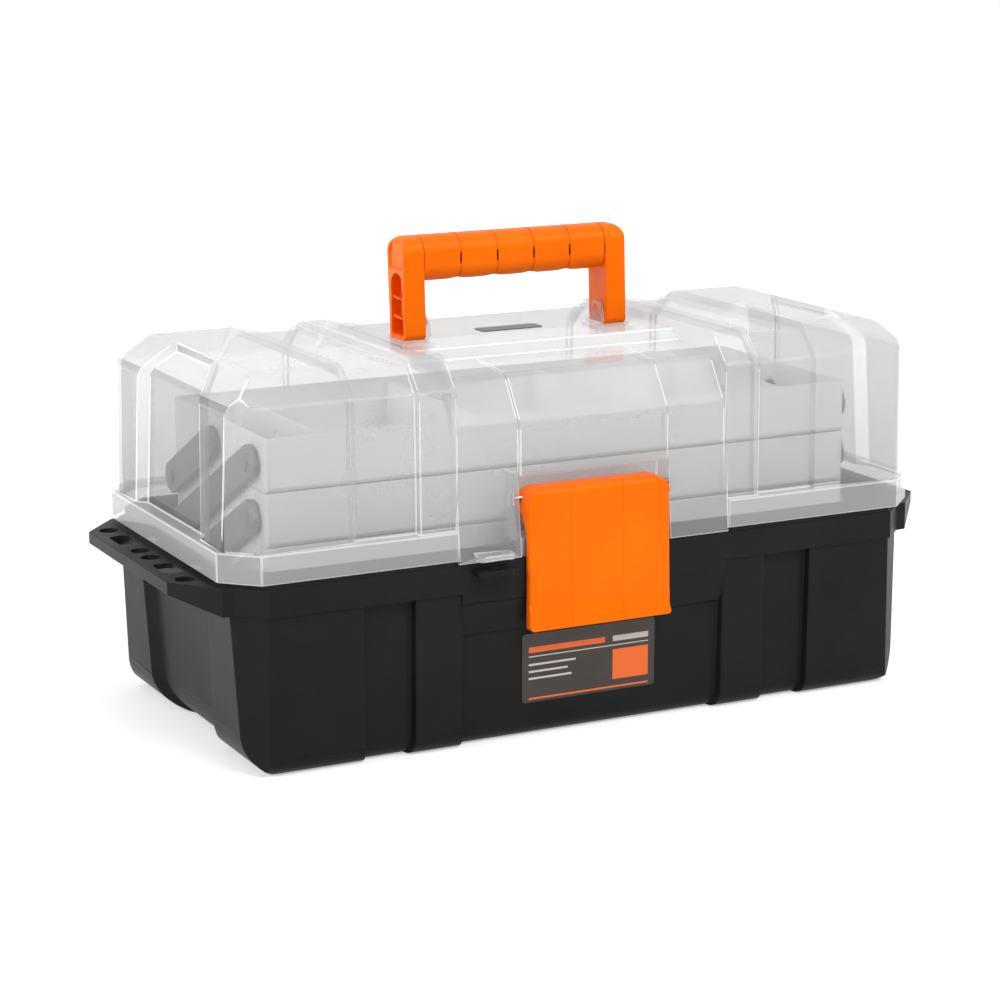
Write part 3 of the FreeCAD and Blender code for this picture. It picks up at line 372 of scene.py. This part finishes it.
# Handle and latch. Smooth orange polypropylene mouldings.
# The handle's grip is lobed and grooved, and its legs are open channels; the latch is a cap.
orange_plastic, tree, shader, coordinates = new_material("orange_smooth_plastic")
grain = add_grain(tree, coordinates, shader, grain_scale=700.0, cloud_scale=16.0, strength=0.06,
                  edge_softness=0.0008)
blend_colours(tree, grain.outputs["Mottle"], shader, (0.97, 0.140, 0.0), (1.0, 0.168, 0.0005))
vary_roughness(tree, grain.outputs["Mottle"], shader, low=0.34, high=0.42)
shader.inputs["Specular IOR Level"].default_value = 0.25
shader.inputs["Specular Tint"].default_value = (1.0, 0.62, 0.2, 1.0)

handle = moulded_skin("handle", "handle_moulding")
round_edges(handle, radius=0.0009, segments=3, shortest=0.002)
handle.data.materials.append(orange_plastic)
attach(handle, "handle")
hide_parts("handle")

handle_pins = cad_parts["handle_pins"]
handle_pins.data.materials.clear()
handle_pins.data.materials.append(orange_plastic)


cap_front = -0.1
cap_side = 0.041
cap_top = 0.134
broken_edge_share = 0.2


def latch_share(middle, facing):
    """The cap's outer front edges are well rounded, the rest only broken."""
    outer = middle.y < cap_front and (abs(middle.x) > cap_side or middle.z > cap_top)
    return 1.0 if outer else broken_edge_share


latch_orange = orange_plastic.copy()
latch_orange.name = "orange_latch_plastic"
tree = latch_orange.node_tree
shader = tree.nodes["Principled BSDF"]
spot = tree.nodes.new("ShaderNodeTexCoord")
across = tree.nodes.new("ShaderNodeSeparateXYZ")
tree.links.new(spot.outputs["Object"], across.inputs["Vector"])
plain_orange = shader.inputs["Base Color"].links[0].from_socket
line_half_width = 0.00022
for line_x in (-0.0171, 0.0135):
    line = tree.nodes.new("ShaderNodeMath")
    line.operation = "COMPARE"
    line.inputs[1].default_value = line_x
    line.inputs[2].default_value = line_half_width
    tree.links.new(across.outputs["X"], line.inputs[0])
    darker = tree.nodes.new("ShaderNodeMixRGB")
    darker.blend_type = "MULTIPLY"
    darker.inputs["Color2"].default_value = (0.93, 0.72, 0.6, 1.0)
    tree.links.new(line.outputs["Value"], darker.inputs["Fac"])
    tree.links.new(plain_orange, darker.inputs["Color1"])
    plain_orange = darker.outputs["Color"]
tree.links.new(plain_orange, shader.inputs["Base Color"])

latch = moulded_skin("latch", "latch_moulding")
round_edges(latch, radius=0.002, segments=4, shortest=0.0016, share=latch_share)
latch.data.materials.append(latch_orange)
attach(latch, "latch")
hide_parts("latch")


# Badge on the lid and label on the tub. Thin printed films, stuck down.
# The badge is plain black, and the label is a dark field with plain orange bars.
badge_film, tree, shader, coordinates = new_material("black_badge_film")
grain = add_grain(tree, coordinates, shader, grain_scale=2000.0, cloud_scale=60.0, strength=0.1,
                  distance=0.0001)
blend_colours(tree, grain.outputs["Mottle"], shader, (0.01, 0.01, 0.01), (0.018, 0.018, 0.018))
shader.inputs["Roughness"].default_value = 0.3
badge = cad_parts["lid_badge"]
badge.data.materials.clear()
badge.data.materials.append(badge_film)

label_film, tree, shader, coordinates = new_material("printed_label_film")
grain = add_grain(tree, coordinates, shader, grain_scale=1500.0, cloud_scale=60.0, strength=0.05,
                  distance=0.0001)
ramp = blend_colours(tree, grain.outputs["Mottle"], shader, (0.020, 0.012, 0.008), (0.030, 0.019, 0.013))
shader.inputs["Roughness"].default_value = 0.32
label_low, label_high = [Vector(corner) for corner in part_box("front_label")]
label_size = label_high - label_low
across = tree.nodes.new("ShaderNodeSeparateXYZ")
tree.links.new(coordinates.outputs["Object"], across.inputs["Vector"])


def within(axis, middle, half):
    """1 where the label's coordinate lies in a bar, 0 beside it."""
    beside = tree.nodes.new("ShaderNodeMath")
    beside.operation = "COMPARE"
    beside.inputs[1].default_value = middle
    beside.inputs[2].default_value = half
    tree.links.new(across.outputs[axis], beside.inputs[0])
    return beside.outputs["Value"]


# Each bar is its left, right, bottom and top, as shares of the label, and its colour.
bar_orange = (0.85, 0.13, 0.004)
bar_pale = (0.55, 0.50, 0.45)
bars = ((0.05, 0.95, 0.04, 0.065, bar_orange), (0.05, 0.62, 0.72, 0.80, bar_orange),
        (0.68, 0.95, 0.72, 0.80, bar_pale), (0.05, 0.95, 0.655, 0.67, bar_pale),
        (0.68, 0.95, 0.16, 0.60, bar_orange), (0.05, 0.40, 0.53, 0.56, bar_pale),
        (0.05, 0.34, 0.43, 0.46, bar_pale), (0.05, 0.37, 0.33, 0.36, bar_pale))
paint = ramp.outputs["Color"]
for left, right_end, bottom, top, colour in bars:
    middle_x = label_low.x + label_size.x * (left + right_end) / 2
    middle_z = label_low.z + label_size.z * (bottom + top) / 2
    wide = within("X", middle_x, label_size.x * (right_end - left) / 2)
    high = within("Z", middle_z, label_size.z * (top - bottom) / 2)
    both = tree.nodes.new("ShaderNodeMath")
    both.operation = "MULTIPLY"
    tree.links.new(wide, both.inputs[0])
    tree.links.new(high, both.inputs[1])
    print_layer = tree.nodes.new("ShaderNodeMixRGB")
    print_layer.inputs["Color2"].default_value = (*colour, 1.0)
    tree.links.new(both.outputs["Value"], print_layer.inputs["Fac"])
    tree.links.new(paint, print_layer.inputs["Color1"])
    paint = print_layer.outputs["Color"]
tree.links.new(paint, shader.inputs["Base Color"])
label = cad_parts["front_label"]
label.data.materials.clear()
label.data.materials.append(label_film)


# Floor and backdrop. A plain pale floor that keeps the object's shadow.
# The camera sees the surroundings as white, directly, through clear plastic and in reflections.
def rays_that_see_white(tree):
    """1 for the camera's rays and those that clear or glossy surfaces send on, 0 for diffuse light."""
    path = tree.nodes.new("ShaderNodeLightPath")
    clear = tree.nodes.new("ShaderNodeMath")
    clear.operation = "MAXIMUM"
    tree.links.new(path.outputs["Is Camera Ray"], clear.inputs[0])
    tree.links.new(path.outputs["Is Transmission Ray"], clear.inputs[1])
    seen = tree.nodes.new("ShaderNodeMath")
    seen.operation = "MAXIMUM"
    tree.links.new(clear.outputs["Value"], seen.inputs[0])
    tree.links.new(path.outputs["Is Glossy Ray"], seen.inputs[1])
    return seen.outputs["Value"]


bpy.ops.mesh.primitive_plane_add(size=12.0, location=(0.0, 0.0, 0.0))
floor = bpy.context.object
floor.name = "floor"
floor_paint, tree, shader, coordinates = new_material("pale_floor")
shader.inputs["Base Color"].default_value = (0.82, 0.82, 0.82, 1.0)
shader.inputs["Roughness"].default_value = 0.7
shader.inputs["Specular IOR Level"].default_value = 0.1
outward = tree.nodes.new("ShaderNodeVectorMath")
outward.operation = "LENGTH"
tree.links.new(coordinates.outputs["Object"], outward.inputs[0])
fade = tree.nodes.new("ShaderNodeMapRange")
fade.interpolation_type = "SMOOTHSTEP"
fade.inputs["From Min"].default_value = 0.35
fade.inputs["From Max"].default_value = 1.1
fade.inputs["To Min"].default_value = 0.42
fade.inputs["To Max"].default_value = 1.0
tree.links.new(outward.outputs["Value"], fade.inputs["Value"])
lift = tree.nodes.new("ShaderNodeMath")
lift.operation = "MULTIPLY"
tree.links.new(rays_that_see_white(tree), lift.inputs[0])
tree.links.new(fade.outputs["Result"], lift.inputs[1])
shader.inputs["Emission Color"].default_value = (1.0, 1.0, 1.0, 1.0)
tree.links.new(lift.outputs["Value"], shader.inputs["Emission Strength"])
floor.data.materials.append(floor_paint)

world = bpy.data.worlds.new("studio_surround")
bpy.context.scene.world = world
world.use_nodes = True
tree = world.node_tree
surround = tree.nodes["Background"]
surround.inputs["Color"].default_value = (1.0, 1.0, 1.0, 1.0)
direction = tree.nodes.new("ShaderNodeTexCoord")
height = tree.nodes.new("ShaderNodeSeparateXYZ")
tree.links.new(direction.outputs["Generated"], height.inputs["Vector"])
sky = tree.nodes.new("ShaderNodeMapRange")
sky.interpolation_type = "SMOOTHSTEP"
sky.inputs["From Min"].default_value = 0.15
sky.inputs["From Max"].default_value = 0.75
sky.inputs["To Min"].default_value = 0.22
sky.inputs["To Max"].default_value = 0.72
tree.links.new(height.outputs["Z"], sky.inputs["Value"])
strength = tree.nodes.new("ShaderNodeMapRange")
tree.links.new(rays_that_see_white(tree), strength.inputs["Value"])
tree.links.new(sky.outputs["Result"], strength.inputs["To Min"])
tree.links.new(strength.outputs["Result"], surround.inputs["Strength"])


# Studio lamps. Two soft boxes: one above the front, one at the left end.
def add_soft_box(name, place, size, power, aim=(0.0, 0.0, 0.1)):
    """A rectangular lamp that faces the object."""
    lamp = bpy.data.lights.new(name, "AREA")
    lamp.shape = "RECTANGLE"
    lamp.size = size[0]
    lamp.size_y = size[1]
    lamp.energy = power
    box = bpy.data.objects.new(name, lamp)
    bpy.context.collection.objects.link(box)
    box.location = place
    box.rotation_euler = (Vector(aim) - Vector(place)).to_track_quat("-Z", "Y").to_euler()


add_soft_box("front_soft_box", place=(0.5, -1.6, 1.7), size=(1.8, 1.0), power=32.0)
add_soft_box("left_soft_box", place=(-1.9, 0.1, 0.8), size=(1.0, 1.2), power=24.0)


# Camera at the photograph's place.
# Its yaw, pitch and roll were worked out from the box's straight edges.
camera_place = Vector((-0.6654, -1.3258, 0.4427))
camera_yaw = 0.46094
camera_pitch = 0.22413
camera_roll = -0.00591
focal_share = 2.76416
sensor_size = 36.0
level_share = math.cos(camera_pitch)
ahead = Vector((math.sin(camera_yaw) * level_share, math.cos(camera_yaw) * level_share,
                -math.sin(camera_pitch)))
right = Vector((math.cos(camera_yaw), -math.sin(camera_yaw), 0.0))
up = right.cross(ahead)
rolled_right = right * math.cos(camera_roll) + up * math.sin(camera_roll)
rolled_up = up * math.cos(camera_roll) - right * math.sin(camera_roll)
camera_data = bpy.data.cameras.new("photo_camera")
camera_data.sensor_width = sensor_size
camera_data.sensor_height = sensor_size
camera_data.lens = sensor_size * focal_share
camera = bpy.data.objects.new("photo_camera", camera_data)
bpy.context.collection.objects.link(camera)
turn = Matrix((rolled_right, rolled_up, -ahead)).transposed()
camera.matrix_world = Matrix.Translation(camera_place) @ turn.to_4x4()
bpy.context.scene.camera = camera
bpy.context.scene.view_settings.view_transform = "Standard"
